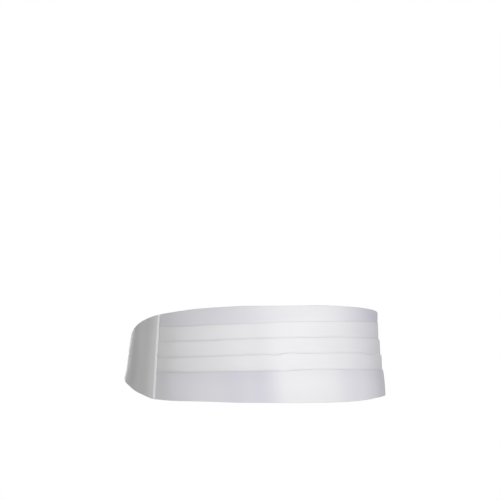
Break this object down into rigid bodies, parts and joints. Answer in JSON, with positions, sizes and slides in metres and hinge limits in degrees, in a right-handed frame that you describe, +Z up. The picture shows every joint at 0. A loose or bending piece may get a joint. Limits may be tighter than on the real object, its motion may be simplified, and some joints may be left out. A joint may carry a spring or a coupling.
{
  "type": "cummerbund",
  "caption": "Pleated white satin cummerbund closed round a waist: folded front, tapering side panels, back straps and a flat clasp.",
  "frame": {"origin": "on the axis of the waist that the sash goes round, level with the middle of the pleated front's height", "axes": "+Z up along the waist, -Y the wearer's front, +X the wearer's left"},
  "size_m": [0.3773, 0.2674, 0.1276],
  "materials": {
    "front_satin": "smooth white satin, soft sheen",
    "panel_satin": "smooth white satin, soft sheen",
    "strap_cloth": "plain white ribbed band",
    "clasp_metal": "plain nickelled plate"
  },
  "bodies": {
    "root": {"pleated_front": "front_satin", "side_panel_left": "panel_satin", "side_panel_right": "panel_satin", "strap_left": "strap_cloth", "strap_right": "strap_cloth", "clasp": "clasp_metal"}
  },
  "joints": []
}
